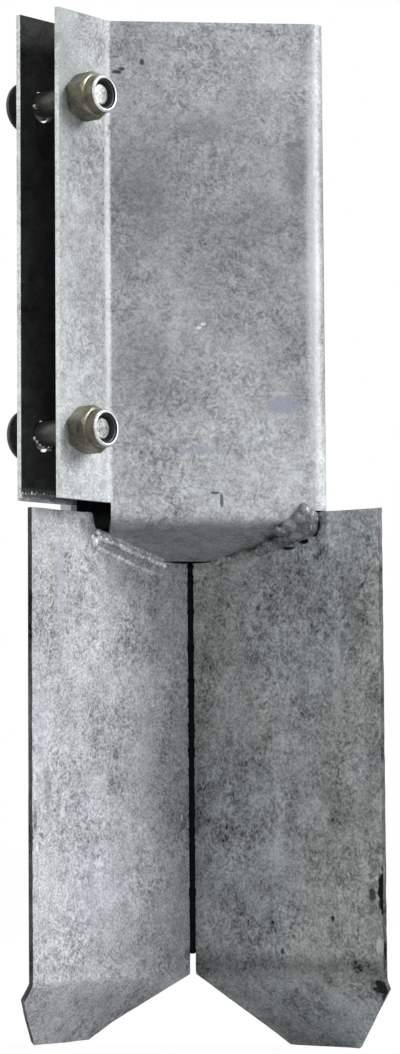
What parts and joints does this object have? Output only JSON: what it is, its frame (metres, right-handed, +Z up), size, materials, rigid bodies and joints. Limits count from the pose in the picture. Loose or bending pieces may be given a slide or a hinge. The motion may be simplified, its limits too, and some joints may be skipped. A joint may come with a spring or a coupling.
{
  "type": "timber post base",
  "caption": "Galvanised steel base for a square timber post: a folded clamp sleeve with bolted flanges, welded onto plate blades that are set in concrete.",
  "frame": {"origin": "on the axis of the sleeve, at the level where its walls bend under into the floor", "axes": "+Z up the post, -Y out of the front wall, +X to the right seen from the front; the clamp flanges leave the corner between -X and -Y"},
  "size_m": [0.1407, 0.1218, 0.3886],
  "materials": {
    "zinc_sleeve": "hot-dip zinc, matt and mottled",
    "zinc_blade": "hot-dip zinc, weathered",
    "weld_metal": "zinc over rippled weld",
    "bolt_steel": "zinc, dull",
    "nut_steel": "zinc, dull with bright edges",
    "insert_plastic": "near-black nylon"
  },
  "bodies": {
    "root": {"sleeve": "zinc_sleeve", "left_blade": "zinc_blade", "right_blade": "zinc_blade", "spine_weld": "weld_metal", "left_seam_weld": "weld_metal", "right_seam_weld": "weld_metal", "left_back_weld": "weld_metal", "right_back_weld": "weld_metal", "upper_bolt": "bolt_steel", "lower_bolt": "bolt_steel", "upper_nut": "nut_steel", "lower_nut": "nut_steel", "upper_nut_insert": "insert_plastic", "lower_nut_insert": "insert_plastic"}
  },
  "joints": []
}
